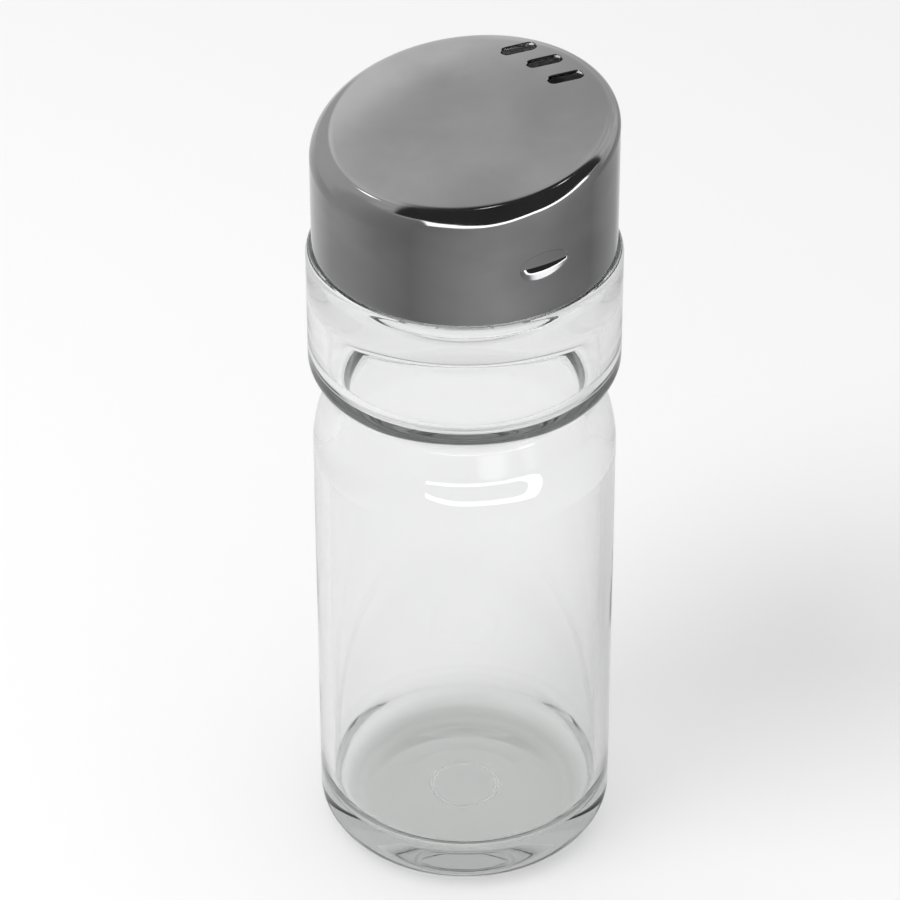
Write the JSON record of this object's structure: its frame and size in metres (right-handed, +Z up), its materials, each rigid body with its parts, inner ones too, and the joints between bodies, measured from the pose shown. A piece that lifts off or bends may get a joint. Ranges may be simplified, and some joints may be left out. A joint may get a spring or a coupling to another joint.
{
  "type": "spice shaker",
  "caption": "Glass spice shaker: straight round jar with a waist and collar, and a lugged metal screw cap whose slanted top has pouring slots at its high side.",
  "frame": {"origin": "centre of the jar's base, on the table plane", "axes": "+Z up the jar's axis; -Y is the front; the cap's high side points midway between +X and +Y"},
  "size_m": [0.0492, 0.0492, 0.1362],
  "materials": {
    "clear_glass": "clear, fire-polished",
    "bright_metal": "bright, slightly smoky chrome",
    "soft_plastic": "matt, natural polyethylene"
  },
  "bodies": {
    "jar": {"glass_jar": "clear_glass"},
    "ring": {"rim_ring": "soft_plastic"},
    "cap": {"cap": "bright_metal"}
  },
  "joints": [
    {"name": "cap_lift", "type": "slide", "parent": "jar", "child": "ring", "axis": [0, 0, 1], "range_m": [0, 0.00323]},
    {"name": "cap_turn", "type": "hinge", "parent": "ring", "child": "cap", "pos_m": [0, 0, 0.1265], "axis": [0, 0, 1], "range_deg": [0, 145]}
  ],
  "couplings": [
    {"joint": "cap_lift", "follows": "cap_turn", "m_per_rad": 0.0012732}
  ]
}
